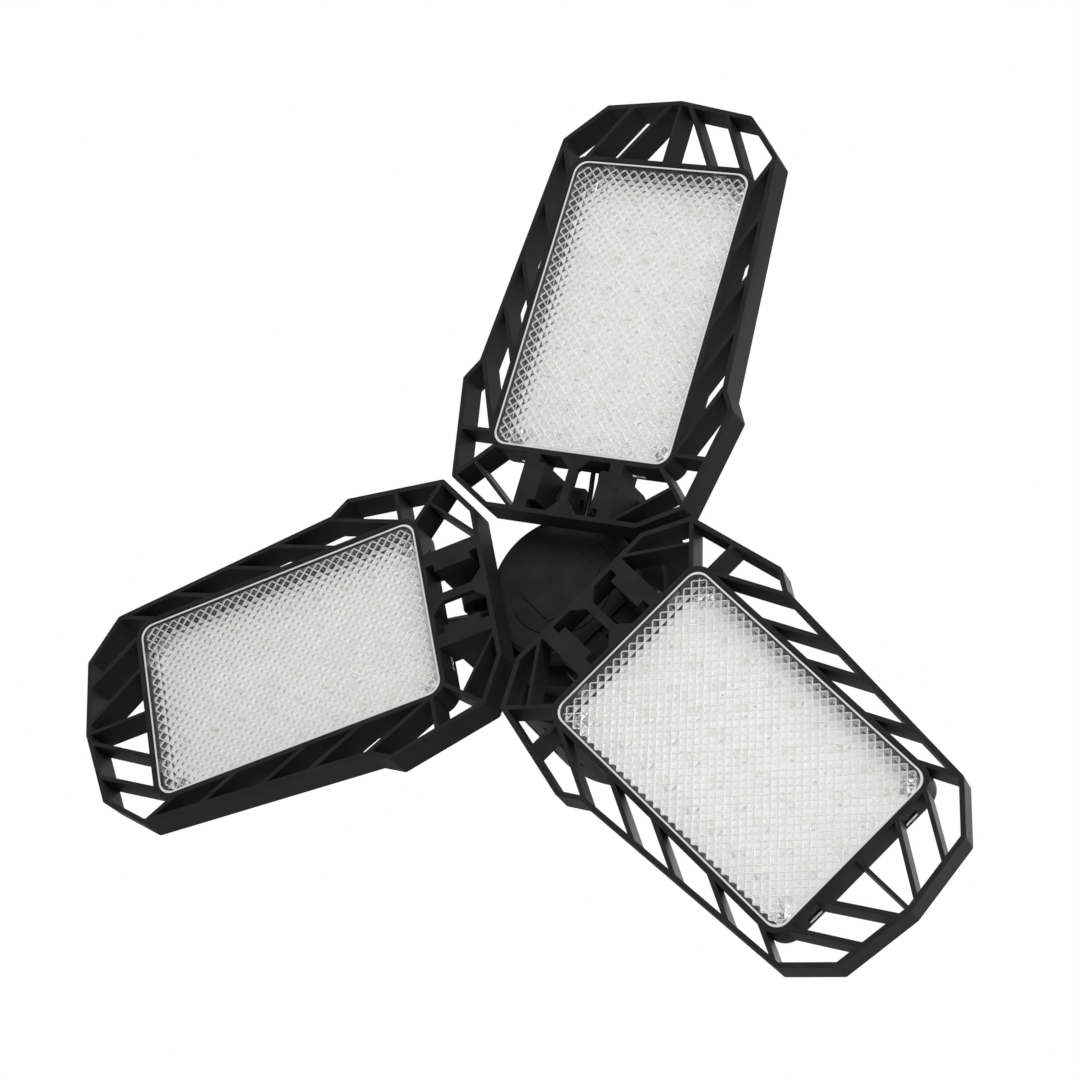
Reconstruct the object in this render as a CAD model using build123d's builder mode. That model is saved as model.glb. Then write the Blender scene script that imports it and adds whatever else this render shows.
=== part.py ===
from build123d import *
import os
from math import atan2, cos, degrees, radians, sin, sqrt, tan

# Garage light: a screw base, a driver drum and a hub that carries three folding LED leaves.
# Millimetres, +Z up. The origin is on the lamp's axis at the lower rim of the screw shell, so the
# base stands above it and the lamp hangs below. In a leaf, u runs outwards from the lamp's axis,
# v across the leaf and w along the lens's normal, towards the light, with the lens face at w = 0.

# Clearances
fit_clearance = 0.1
screw_clearance = 0.05
running_clearance = 0.05
washer_play = 0.05
board_clearance = 0.3
hook_clearance = 0.3
lens_clearance = 0.2
wire_clearance = 0.3

# Screw base of the common 27 mm size
shell_crest_radius = 13.1
thread_depth = 1.1
thread_pitch = 3.62
thread_land = 0.9
thread_count = 5
shell_rim = 1.0
shell_skirt = 2.6
shell_wall = 0.8
shell_lip_width = 1.8
insulator_height = 4.2
insulator_inset = 1.6
contact_radius = 4.7
contact_height = 2.0
contact_rounding = 1.2
contact_margin = 1.3

# Driver housing
housing_height = 89.0
housing_radius = 25.4
housing_wall = 2.0
collar_step = 2.1
collar_height = 4.0
shoulder_height = 10.0
drum_radius = 43.0
drum_height = 62.0
drum_chamfer = 2.5
throat_radius = 33.8
throat_fall = 1.5
throat_rise = 2.0
spigot_height = 12.0
vent_count = 24
vent_width = 2.4
vent_height = 36.0
vent_rise = 10.0
boss_radius = 3.4
boss_height = 10.0
boss_overlap = 0.2

# Screws
housing_screw_radius = 1.3
housing_screw_depth = 8.0
screw_head_radius = 2.6
screw_head_height = 1.6
recess_length = 3.0
recess_width = 0.7
recess_depth = 0.8
board_screw_radius = 1.25
board_screw_inset = 4.5

# Driver
driver_board_thickness = 1.6
capacitor_radius = 5.0
capacitor_height = 20.0
capacitor_rounding = 1.2
capacitor_spot = (-9.0, -7.0)
inductor_size = (15.0, 13.0, 14.0)
inductor_spot = (5.0, 6.0)
inductor_flange = 2.0
inductor_coil_inset = 1.5
rectifier_size = (9.0, 4.0, 7.0)
rectifier_spot = (8.0, -9.0)
supply_wire_radius = 0.8
centre_lead_foot = 15.0
shell_lead_foot = 13.0
shell_lead_offset = 6.0
shell_lead_drop = 1.0
wire_bend = 12.0

# Hub
hub_flange = 1.8
hub_height = 8.6
hub_wall = 2.2
hub_plate = 2.4
hub_opening_radius = 15.5
cover_thickness = 1.2
cover_step_radius = 19.4
cover_step_height = 0.6
cover_boss_radius = 14.6
cover_boss_height = 0.6
cover_chamfer = 0.7
cover_tab_width = 8.0
cover_tab_thickness = 1.6
cover_tab_height = 2.4

# Hinges
hinge_reach = 4.2
hinge_drop = 9.0
knuckle_radius = 6.0
knuckle_length = 7.3
knuckle_root = 1.2
ear_radius = 7.0
ear_thickness = 8.2
ear_sweep_gap = 0.7
leaf_air = 1.3
pin_radius = 2.0
pin_grip = 6.0
pin_head_radius = 4.0
pin_head_height = 2.4
pin_slot_width = 1.1
pin_slot_depth = 1.0
washer_radius = 5.5
washer_thickness = 0.4

# Leaves: evenly spaced round the axis; a positive rest tilt lifts the tip
rest_tilts = {"leaf_1": -5.0, "leaf_2": 6.0, "leaf_3": 2.5}
first_azimuth = 90.0
lens_length = 112.5
lens_width = 70.0
lens_corner = 5.0
lens_thickness = 2.2
lens_ledge = 1.2
frame_depth = 12.6
frame_proud = 0.5
tray_step = 0.6
tray_wall = 1.8
tray_floor = 1.6
rim_wall = 1.8
rib_wall = 1.6
thin_rib_wall = 1.2
outline_rounding = 1.6
leaf_gap = 1.75
ear_notch = 3.15
corner_inset = 2.7
shoulder_start = 23.0
shoulder_margin = 18.8
waist_start = 30.6
waist_margin = 14.3
tip_side_reach = 7.9
tip_side_margin = 8.0
chamfer_reach = 22.7
chamfer_inset = 6.0
tip_reach = 26.7

# Lattice of a leaf frame
side_rib_starts = (2.2, 28.8, 50.8, 78.7, 103.2)
side_rib_slant = 2.25
cross_rib_start = 4.2
bar_width = 5.2
middle_bar_width = 3.3
middle_bar_depth = 2.6
middle_bar_flare = 4.2
diagonal_start = (1.5, 2.5)
thin_rib_offset = 0.5
tip_rib_foot = 19.0
tip_rib_top = 3.0
corner_rib_foot = 32.0
corner_rib_top = 17.8

# Cooling fins on a leaf's back
fin_count = 7
fin_pitch = 9.0
fin_wall = 1.4
fin_height = 1.4
fin_start = 18.0
fin_end_inset = 12.0

# LED board and lens hooks
led_board_thickness = 1.5
chip_columns = 9
chip_rows = 5
chip_size = (3.5, 2.8, 0.8)
chip_end_margin = 8.5
chip_side_margin = 9.4
hook_spread = 22.0
hook_width = 5.0
hook_thickness = 1.0
hook_depth = 8.5
hook_nub = 1.8
hook_proud = 0.8

# Twin lead from the hub to each leaf
wire_radius = 0.95
wire_spacing = 3.2
wire_air = 0.65
wire_foot_radius = 12.5
wire_exit_drop = 6.5
wire_reach = 1.0
wire_back = 4.8
wire_turn_in = 1.2
bend_share = 0.45
grommet_start = 9.0
grommet_width = 5.0
grommet_length = 9.0
grommet_flange = 1.0
grommet_flange_thickness = 1.5

# Derived azimuths: the leaves, and the bosses and cover tabs halfway between them
leaf_count = len(rest_tilts)
leaf_pitch = 360 / leaf_count
boss_azimuth = first_azimuth - leaf_pitch / 2
leaves = {}
for index, (name, tilt) in enumerate(rest_tilts.items()):
    leaves[name] = (first_azimuth + index * leaf_pitch, tilt)

# Derived heights and radii
shell_root_radius = shell_crest_radius - thread_depth
shell_bore_radius = shell_root_radius - shell_wall
shell_mouth_radius = shell_bore_radius - shell_lip_width
shell_height = shell_skirt + thread_count * thread_pitch
insulator_top = shell_height + insulator_height
spigot_radius = shell_bore_radius - fit_clearance
spigot_bore = spigot_radius - housing_wall
collar_radius = shell_crest_radius + collar_step
housing_bore = housing_radius - housing_wall
boss_circle = housing_bore - boss_radius + boss_overlap
board_top = -housing_height + driver_board_thickness
hub_radius = housing_radius + hub_flange
hub_bore = hub_radius - hub_wall
hub_bottom = -housing_height - hub_height
hinge_radius = hub_radius + hinge_reach
hinge_z = -housing_height - hinge_drop
knuckle_inner = wire_spacing / 2 + wire_radius + wire_air
knuckle_outer = knuckle_inner + knuckle_length
ear_inner = knuckle_outer + washer_thickness + 2 * washer_play
ear_outer = ear_inner + ear_thickness
ear_clear_radius = hinge_radius - ear_radius - ear_sweep_gap

# Derived places in a leaf
rib_back = frame_proud - frame_depth
frame_back = rib_back - tray_step
hinge_depth = knuckle_radius + leaf_air - frame_back
hub_edge = hinge_radius - ear_radius - ear_notch - rim_wall
tray_start = hinge_radius + ear_radius + ear_notch
lens_start = tray_start + tray_wall + lens_clearance
lens_end = lens_start + lens_length
lens_middle = (lens_start + lens_end) / 2
tray_length = lens_length + 2 * (lens_clearance + tray_wall)
tray_width = lens_width + 2 * (lens_clearance + tray_wall)
tray_corner = lens_corner + lens_clearance + tray_wall
floor_top = frame_back + tray_floor
led_board_length = lens_length - 2 * (lens_ledge + board_clearance)
led_board_width = lens_width - 2 * (lens_ledge + board_clearance)
led_board_top = floor_top + led_board_thickness
chip_pitch_u = (led_board_length - 2 * chip_end_margin) / (chip_columns - 1)
chip_pitch_v = (led_board_width - 2 * chip_side_margin) / (chip_rows - 1)
board_screw_u = led_board_length - 2 * board_screw_inset
board_screw_v = led_board_width - 2 * board_screw_inset
grommet_place = lens_start + grommet_start
fin_length = lens_length - fin_start - fin_end_inset
fin_middle = lens_start + fin_start + fin_length / 2

os.makedirs("parts", exist_ok=True)


def save(builder, name):
    builder.part.label = name
    export_step(builder.part, f"parts/{name}.step")


def largest_bends(points):
    """Radius for each corner of a route, as large as its two runs allow."""
    bends = []
    for before, corner, after in zip(points, points[1:], points[2:]):
        back = Vector(*before) - Vector(*corner)
        ahead = Vector(*after) - Vector(*corner)
        turn = 180 - back.get_angle(ahead)
        bends.append(bend_share * min(back.length, ahead.length) / tan(radians(turn / 2)))
    return bends


# Screw shell: a thin metal shell with a rim at its foot and ridges for the thread
flank = (thread_pitch - 2 * thread_land) / 2
shell_profile = [
    (shell_bore_radius, 0),
    (shell_crest_radius, 0),
    (shell_crest_radius, shell_rim),
    (shell_root_radius, shell_rim + flank),
]
for turn in range(thread_count):
    foot = shell_skirt + turn * thread_pitch + thread_land / 2
    shell_profile += [
        (shell_root_radius, foot),
        (shell_crest_radius, foot + flank),
        (shell_crest_radius, foot + flank + thread_land),
        (shell_root_radius, foot + 2 * flank + thread_land),
    ]
shell_profile += [
    (shell_root_radius, shell_height),
    (shell_mouth_radius, shell_height),
    (shell_mouth_radius, shell_height - shell_wall),
    (shell_bore_radius, shell_height - shell_wall),
]
with BuildPart() as screw_shell:
    with BuildSketch(Plane.XZ):
        with BuildLine():
            Polyline(*shell_profile, close=True)
        make_face()
    revolve(axis=Axis.Z)
save(screw_shell, "screw_shell")

# Insulator: a cone on the shell's lip, plugged into the shell's mouth
with BuildPart() as cap_insulator:
    with BuildSketch(Plane.XZ):
        with BuildLine():
            Polyline(
                (supply_wire_radius + fit_clearance, shell_height - shell_wall),
                (shell_mouth_radius - fit_clearance, shell_height - shell_wall),
                (shell_mouth_radius - fit_clearance, shell_height),
                (shell_root_radius - insulator_inset, shell_height),
                (contact_radius + contact_margin, insulator_top),
                (supply_wire_radius + fit_clearance, insulator_top),
                close=True,
            )
        make_face()
    revolve(axis=Axis.Z)
save(cap_insulator, "cap_insulator")

# End contact: a rounded brass button on the insulator
with BuildPart() as centre_contact:
    with BuildSketch(Plane.XY.offset(insulator_top)):
        Circle(contact_radius)
    extrude(amount=contact_height)
    fillet(centre_contact.edges().sort_by(Axis.Z)[-1], contact_rounding)
save(centre_contact, "centre_contact")

# Driver housing: a vented drum over a narrower throat with screw bosses, and a spigot for the shell
drum_top = -collar_height - shoulder_height
drum_bottom = drum_top - drum_height
drum_bore = drum_radius - housing_wall
throat_bottom = -housing_height + throat_rise
throat_bore = throat_radius - housing_wall
with BuildPart() as driver_housing:
    with BuildSketch(Plane.XZ):
        with BuildLine():
            Polyline(
                (spigot_bore, spigot_height),
                (spigot_radius, spigot_height),
                (spigot_radius, 0),
                (collar_radius, 0),
                (collar_radius, -collar_height),
                (drum_radius, drum_top),
                (drum_radius, drum_bottom + drum_chamfer),
                (drum_radius - drum_chamfer, drum_bottom),
                (throat_radius, drum_bottom - throat_fall),
                (throat_radius, throat_bottom),
                (housing_radius, throat_bottom),
                (housing_radius, -housing_height),
                (housing_bore, -housing_height),
                (housing_bore, throat_bottom + housing_wall),
                (throat_bore, throat_bottom + housing_wall),
                (throat_bore, drum_bottom - throat_fall + housing_wall),
                (drum_bore - drum_chamfer, drum_bottom + housing_wall),
                (drum_bore, drum_bottom + housing_wall + drum_chamfer),
                (drum_bore, drum_top - housing_wall),
                (collar_radius - housing_wall, -collar_height - housing_wall),
                (spigot_bore, -housing_wall),
                close=True,
            )
        make_face()
    revolve(axis=Axis.Z)
    with BuildSketch(Plane.XY.offset(-housing_height)):
        with PolarLocations(boss_circle, leaf_count, start_angle=boss_azimuth):
            Circle(boss_radius)
    extrude(amount=boss_height)
    with BuildSketch(Plane.XY.offset(-housing_height)):
        with PolarLocations(boss_circle, leaf_count, start_angle=boss_azimuth):
            Circle(housing_screw_radius + screw_clearance)
    extrude(amount=housing_screw_depth + screw_clearance, mode=Mode.SUBTRACT)
    with BuildSketch(Plane.XY.offset(drum_bottom + vent_rise)):
        with PolarLocations(drum_radius, vent_count, start_angle=180 / vent_count):
            Rectangle(3 * housing_wall, vent_width)
    extrude(amount=vent_height, mode=Mode.SUBTRACT)
save(driver_housing, "driver_housing")

# Driver board: a round board on the hub's plate, cut out round the bosses
with BuildPart() as driver_board:
    with BuildSketch(Plane.XY.offset(-housing_height)):
        Circle(housing_bore - board_clearance)
        with PolarLocations(boss_circle, leaf_count, start_angle=boss_azimuth):
            Circle(boss_radius + board_clearance, mode=Mode.SUBTRACT)
    extrude(amount=driver_board_thickness)
save(driver_board, "driver_board")

# Smoothing capacitor: a can standing on the board
with BuildPart() as driver_capacitor:
    with BuildSketch(Plane.XY.offset(board_top)):
        with Locations(capacitor_spot):
            Circle(capacitor_radius)
    extrude(amount=capacitor_height)
    fillet(driver_capacitor.edges().sort_by(Axis.Z)[-1], capacitor_rounding)
save(driver_capacitor, "driver_capacitor")

# Inductor: a coil between two core flanges
with BuildPart() as driver_inductor:
    with BuildSketch(Plane.XY.offset(board_top)):
        with Locations(inductor_spot):
            Rectangle(inductor_size[0], inductor_size[1])
    extrude(amount=inductor_flange)
    with BuildSketch(Plane.XY.offset(board_top + inductor_flange)):
        with Locations(inductor_spot):
            Circle(inductor_size[1] / 2 - inductor_coil_inset)
    extrude(amount=inductor_size[2] - 2 * inductor_flange)
    with BuildSketch(Plane.XY.offset(board_top + inductor_size[2] - inductor_flange)):
        with Locations(inductor_spot):
            Rectangle(inductor_size[0], inductor_size[1])
    extrude(amount=inductor_flange)
save(driver_inductor, "driver_inductor")

# Bridge rectifier: a small block standing on the board
with BuildPart() as driver_rectifier:
    with BuildSketch(Plane.XY.offset(board_top)):
        with Locations(rectifier_spot):
            Rectangle(rectifier_size[0], rectifier_size[1])
    extrude(amount=rectifier_size[2])
save(driver_rectifier, "driver_rectifier")

# Supply wires: from the board up to the end contact and to the wall of the screw shell
centre_route = [
    (centre_lead_foot, board_top),
    (centre_lead_foot, drum_top),
    (0, -collar_height),
    (0, insulator_top),
]
with BuildPart() as centre_lead:
    with BuildLine(Plane.YZ) as route:
        FilletPolyline(*centre_route, radius=wire_bend)
    with BuildSketch(Plane(origin=route.line @ 0, z_dir=route.line % 0)):
        Circle(supply_wire_radius)
    sweep(path=route.line)
save(centre_lead, "centre_lead")

shell_lead_end = shell_bore_radius - supply_wire_radius - fit_clearance
shell_route = [
    (-shell_lead_foot, board_top),
    (-shell_lead_foot, drum_top),
    (-shell_lead_offset, -collar_height),
    (-shell_lead_offset, spigot_height),
    (-shell_lead_end, shell_height - shell_wall - shell_lead_drop),
]
with BuildPart() as shell_lead:
    with BuildLine(Plane.YZ) as route:
        FilletPolyline(*shell_route, radius=wire_bend)
    with BuildSketch(Plane(origin=route.line @ 0, z_dir=route.line % 0)):
        Circle(supply_wire_radius)
    sweep(path=route.line)
save(shell_lead, "shell_lead")


def radial_plane(azimuth):
    """Plane through the lamp's axis: x outwards at the azimuth, y up, normal across the leaf."""
    a = radians(azimuth)
    return Plane(origin=(0, 0, 0), x_dir=(cos(a), sin(a), 0), z_dir=(sin(a), -cos(a), 0))


def leaf_plane(azimuth, tilt):
    """Plane of a leaf's lens face: x along u, normal along w, turned about the hinge axis."""
    a = radians(azimuth)
    t = radians(tilt)
    outwards = Vector(cos(a), sin(a), 0)
    up = Vector(0, 0, 1)
    along = outwards * cos(t) + up * sin(t)
    normal = outwards * sin(t) - up * cos(t)
    hinge = outwards * hinge_radius + up * hinge_z
    return Plane(origin=hinge - along * hinge_radius + normal * hinge_depth, x_dir=along, z_dir=normal)


def leaf_spot(tilt, u, w):
    """Radius and height of a point of the leaf, in its radial plane."""
    t = radians(tilt)
    out = u - hinge_radius
    down = w + hinge_depth
    return (
        hinge_radius + out * cos(t) + down * sin(t),
        hinge_z + out * sin(t) - down * cos(t),
    )


# Hub body: a ring under a plate, with two hinge knuckles for each leaf and outlets for its wires
wire_exit = -housing_height - wire_exit_drop
with BuildPart() as hub_body:
    with BuildSketch(Plane.XZ):
        with BuildLine():
            Polyline(
                (hub_opening_radius, -housing_height),
                (hub_radius, -housing_height),
                (hub_radius, hub_bottom),
                (hub_bore, hub_bottom),
                (hub_bore, -housing_height - hub_plate),
                (hub_opening_radius, -housing_height - hub_plate),
                close=True,
            )
        make_face()
    revolve(axis=Axis.Z)
    with BuildSketch(Plane.XY.offset(-housing_height)):
        with PolarLocations(boss_circle, leaf_count, start_angle=boss_azimuth):
            Circle(housing_screw_radius + screw_clearance)
    extrude(amount=-hub_plate, mode=Mode.SUBTRACT)
    for azimuth, tilt in leaves.values():
        across = radial_plane(azimuth)
        for side in (1, -1):
            with BuildSketch(across.offset(side * (knuckle_outer + washer_play))):
                with Locations((ear_clear_radius + ear_radius, hub_bottom)):
                    Rectangle(2 * ear_radius, 2 * (hub_height + hub_plate))
            extrude(amount=side * (ear_outer - knuckle_outer), mode=Mode.SUBTRACT)
            with BuildSketch(across.offset(side * knuckle_inner)):
                with BuildLine():
                    Polyline(
                        (hub_bore - knuckle_root, hinge_z + knuckle_radius),
                        (hinge_radius, hinge_z + knuckle_radius),
                        (hinge_radius, hub_bottom),
                        (hub_bore - knuckle_root, hub_bottom),
                        close=True,
                    )
                make_face()
                with Locations((hinge_radius, hinge_z)):
                    Circle(knuckle_radius)
                    Circle(pin_radius + screw_clearance, mode=Mode.SUBTRACT)
            extrude(amount=side * knuckle_length)
        with BuildSketch(Plane(origin=(0, 0, wire_exit), x_dir=across.z_dir, z_dir=across.x_dir)):
            with GridLocations(wire_spacing, wire_spacing, 2, 1):
                Circle(wire_radius + fit_clearance)
        extrude(amount=hub_radius, mode=Mode.SUBTRACT)
save(hub_body, "hub_body")

# Hub cover: a stepped disc with a six-sided boss, flat beside each hinge, held by three tabs
cover_bottom = hub_bottom - cover_thickness
cover_tab_face = sqrt(hub_bore**2 - (cover_tab_width / 2) ** 2) - fit_clearance
cover_tab_place = cover_tab_face - cover_tab_thickness / 2
with BuildPart() as hub_cover:
    with BuildSketch(Plane.XY.offset(hub_bottom)):
        Circle(hub_radius)
    extrude(amount=-cover_thickness)
    chamfer(hub_cover.edges().sort_by(Axis.Z)[0], cover_chamfer)
    with BuildSketch(Plane.XY.offset(cover_bottom)):
        Circle(cover_step_radius)
    extrude(amount=-cover_step_height)
    with BuildSketch(Plane.XY.offset(cover_bottom - cover_step_height)):
        RegularPolygon(cover_boss_radius, 2 * leaf_count, rotation=boss_azimuth)
    extrude(amount=-cover_boss_height)
    with BuildSketch(Plane.XY.offset(hub_bottom)):
        with PolarLocations(ear_clear_radius + hub_radius, leaf_count, start_angle=first_azimuth):
            Rectangle(2 * hub_radius, 2 * hub_radius)
    extrude(amount=-cover_thickness, mode=Mode.SUBTRACT)
    with BuildSketch(Plane.XY.offset(hub_bottom)):
        with PolarLocations(cover_tab_place, leaf_count, start_angle=boss_azimuth):
            Rectangle(cover_tab_thickness, cover_tab_width)
    extrude(amount=cover_tab_height)
save(hub_cover, "hub_cover")

# Housing screws: three from below, through the hub's plate into the bosses
plate_bottom = -housing_height - hub_plate
with BuildPart() as housing_screws:
    with BuildSketch(Plane.XY.offset(plate_bottom)):
        with PolarLocations(boss_circle, leaf_count, start_angle=boss_azimuth):
            Circle(screw_head_radius)
    extrude(amount=-screw_head_height)
    with BuildSketch(Plane.XY.offset(plate_bottom)):
        with PolarLocations(boss_circle, leaf_count, start_angle=boss_azimuth):
            Circle(housing_screw_radius)
    extrude(amount=hub_plate + housing_screw_depth)
    with BuildSketch(Plane.XY.offset(plate_bottom - screw_head_height)):
        with PolarLocations(boss_circle, leaf_count, start_angle=boss_azimuth):
            Rectangle(recess_length, recess_width)
            Rectangle(recess_width, recess_length)
    extrude(amount=recess_depth, mode=Mode.SUBTRACT)
save(housing_screws, "housing_screws")

# Half outline of a leaf, from the hub end to the tip; its first side runs along the next leaf's
corner_place = hinge_radius - corner_inset
sector = radians(leaf_pitch / 2)
half_outline = [
    (hub_edge, hub_edge * tan(sector) - leaf_gap / cos(sector)),
    (corner_place, corner_place * tan(sector) - leaf_gap / cos(sector)),
    (lens_start + shoulder_start, lens_width / 2 + shoulder_margin),
    (lens_start + waist_start, lens_width / 2 + waist_margin),
    (lens_end + tip_side_reach, lens_width / 2 + tip_side_margin),
    (lens_end + chamfer_reach, lens_width / 2 - chamfer_inset),
]
tip = (lens_end + tip_reach, 0)
outline = half_outline + [tip] + [(u, -v) for u, v in reversed(half_outline)]
hub_corner, shoulder_corner = half_outline[1], half_outline[2]
waist_corner, tip_side_corner, chamfer_corner = half_outline[3:]

# Ends of the ribs on one side of a leaf; each rib runs from the tray or the rim to the rim
tray_end = tray_start + tray_length
inside_tray = tray_width / 2 - tray_wall
ribs = []
side_fall = (waist_corner[1] - tip_side_corner[1]) / (tip_side_corner[0] - waist_corner[0])
for start in side_rib_starts:
    foot = lens_start + start
    side_height = waist_corner[1] - inside_tray - side_fall * (foot - waist_corner[0])
    rise = side_height / (1 + side_fall * side_rib_slant)
    ribs.append(((foot, inside_tray), (foot + side_rib_slant * rise, inside_tray + rise), rib_wall))
cross_place = lens_start + cross_rib_start
cross_share = (cross_place - hub_corner[0]) / (shoulder_corner[0] - hub_corner[0])
cross_top = hub_corner[1] + cross_share * (shoulder_corner[1] - hub_corner[1])
ribs.append(((cross_place, inside_tray), (cross_place, cross_top), rib_wall))
diagonal_foot = (tray_start + diagonal_start[0], lens_width / 2 - diagonal_start[1])
diagonal_middle = ((diagonal_foot[0] + hub_corner[0]) / 2, (diagonal_foot[1] + hub_corner[1]) / 2)
ribs.append((diagonal_foot, hub_corner, rib_wall))
ribs.append(((hub_edge + rim_wall / 2, ear_outer + thin_rib_offset), diagonal_middle, thin_rib_wall))
tip_slope = (chamfer_corner[0] - tip[0]) / chamfer_corner[1]
for foot, top in ((tip_rib_foot, tip_rib_top), (corner_rib_foot, corner_rib_top)):
    ribs.append(((tray_end - tray_wall, foot), (tip[0] + tip_slope * top, top), rib_wall))

# Half outline of the shallow middle bar, flared where it meets the hub end and the tray
bar_half = middle_bar_width / 2
half_bar = [
    (hub_edge + rim_wall, bar_half + middle_bar_flare),
    (hub_edge + rim_wall + middle_bar_flare, bar_half),
    (tray_start - middle_bar_flare, bar_half),
    (tray_start, bar_half + middle_bar_flare),
]
middle_bar = half_bar + [(u, -v) for u, v in reversed(half_bar)]


def rib(start, end, wall):
    """Straight rib between two points of the sketch in hand."""
    run_u, run_v = end[0] - start[0], end[1] - start[1]
    with Locations(((start[0] + end[0]) / 2, (start[1] + end[1]) / 2)):
        Rectangle(sqrt(run_u**2 + run_v**2), wall, rotation=degrees(atan2(run_v, run_u)))


# The pieces of a leaf are built once in the leaf's own frame, x along u, y along v and z along w,
# and placed at each hinge further down.

# Leaf frame: one moulding of rim, ribs, tray, hinge ears and the fins on its back
with BuildPart() as frame:
    with BuildSketch(Plane.XY.offset(frame_proud)):
        with BuildLine():
            Polyline(*outline, close=True)
        make_face()
        offset(amount=-rim_wall, kind=Kind.INTERSECTION, mode=Mode.SUBTRACT)
        for side in (1, -1):
            for start, end, wall in ribs:
                rib((start[0], side * start[1]), (end[0], side * end[1]), wall)
            bar_place = side * (ear_outer - bar_width / 2)
            rib((hub_edge, bar_place), (tray_start + tray_wall, bar_place), bar_width)
        rib((tray_end - tray_wall, 0), tip, thin_rib_wall)
        with Locations((lens_middle, 0)):
            RectangleRounded(tray_length, tray_width, tray_corner)
        with BuildLine():
            FilletPolyline(*outline, radius=outline_rounding, close=True)
        make_face(mode=Mode.INTERSECT)
    extrude(amount=-frame_depth)
    with BuildSketch(Plane.XY.offset(rib_back)):
        with Locations((lens_middle, 0)):
            RectangleRounded(tray_length, tray_width, tray_corner)
    extrude(amount=-tray_step)
    with BuildSketch(Plane.XY.offset(frame_proud)):
        with BuildLine():
            Polyline(*middle_bar, close=True)
        make_face()
    extrude(amount=-middle_bar_depth)
    with BuildSketch(Plane.XY.offset(frame_back)):
        with Locations((fin_middle, 0)):
            with GridLocations(fin_length, fin_pitch, 1, fin_count):
                Rectangle(fin_length, fin_wall)
    extrude(amount=-fin_height)
    for side in (1, -1):
        with BuildSketch(Plane.XZ.offset(side * ear_inner)):
            with Locations((hinge_radius, (frame_proud - hinge_depth) / 2)):
                Rectangle(2 * ear_radius, frame_proud + hinge_depth)
            with Locations((hinge_radius, -hinge_depth)):
                Circle(ear_radius)
                Circle(pin_radius + running_clearance, mode=Mode.SUBTRACT)
        extrude(amount=side * ear_thickness)
    with BuildSketch(Plane.XY.offset(frame_proud)):
        with Locations((lens_middle, 0)):
            RectangleRounded(
                lens_length + 2 * lens_clearance,
                lens_width + 2 * lens_clearance,
                lens_corner + lens_clearance,
            )
    extrude(amount=-frame_proud - lens_thickness, mode=Mode.SUBTRACT)
    with BuildSketch(Plane.XY.offset(floor_top)):
        with Locations((lens_middle, 0)):
            RectangleRounded(
                lens_length - 2 * lens_ledge,
                lens_width - 2 * lens_ledge,
                lens_corner - lens_ledge,
            )
    extrude(amount=-floor_top - lens_thickness, mode=Mode.SUBTRACT)
    with BuildSketch(Plane.XY.offset(floor_top)):
        with Locations((lens_middle, 0)):
            with GridLocations(board_screw_u, board_screw_v, 2, 2):
                Circle(board_screw_radius + screw_clearance)
        with Locations((grommet_place, 0)):
            SlotOverall(grommet_length, grommet_width, rotation=90)
    extrude(amount=-tray_floor, mode=Mode.SUBTRACT)
    with BuildSketch(Plane.XY.offset(floor_top)):
        with Locations((lens_middle, 0)):
            with GridLocations(lens_length - lens_ledge, 2 * hook_spread, 2, 2):
                Rectangle(lens_ledge + 2 * lens_clearance, hook_width + 2 * hook_clearance)
    extrude(amount=-floor_top - lens_thickness, mode=Mode.SUBTRACT)
    with BuildSketch(Plane.XY.offset(-hook_depth - hook_clearance)):
        with Locations((lens_middle, 0)):
            with GridLocations(tray_length, 2 * hook_spread, 2, 2):
                Rectangle(3 * tray_wall, hook_width + 2 * hook_clearance)
    extrude(amount=hook_nub + 2 * hook_clearance, mode=Mode.SUBTRACT)

# LED board: an aluminium board on the tray's floor
with BuildPart() as led_board:
    with BuildSketch(Plane.XY.offset(floor_top)):
        with Locations((lens_middle, 0)):
            RectangleRounded(
                led_board_length, led_board_width, lens_corner - lens_ledge - board_clearance
            )
            with GridLocations(board_screw_u, board_screw_v, 2, 2):
                Circle(board_screw_radius + screw_clearance, mode=Mode.SUBTRACT)
    extrude(amount=led_board_thickness)

# Diodes: a grid of small packages on the board
with BuildPart() as led_chips:
    with BuildSketch(Plane.XY.offset(led_board_top)):
        with Locations((lens_middle, 0)):
            with GridLocations(chip_pitch_u, chip_pitch_v, chip_columns, chip_rows):
                Rectangle(chip_size[0], chip_size[1])
    extrude(amount=chip_size[2])

# Board screws: four, through the board into the tray's floor
with BuildPart() as board_screws:
    with BuildSketch(Plane.XY.offset(led_board_top)):
        with Locations((lens_middle, 0)):
            with GridLocations(board_screw_u, board_screw_v, 2, 2):
                Circle(screw_head_radius)
    extrude(amount=screw_head_height)
    with BuildSketch(Plane.XY.offset(frame_back)):
        with Locations((lens_middle, 0)):
            with GridLocations(board_screw_u, board_screw_v, 2, 2):
                Circle(board_screw_radius)
    extrude(amount=tray_floor + led_board_thickness)
    with BuildSketch(Plane.XY.offset(led_board_top + screw_head_height)):
        with Locations((lens_middle, 0)):
            with GridLocations(board_screw_u, board_screw_v, 2, 2):
                Rectangle(recess_length, recess_width)
                Rectangle(recess_width, recess_length)
    extrude(amount=-recess_depth, mode=Mode.SUBTRACT)

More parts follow.
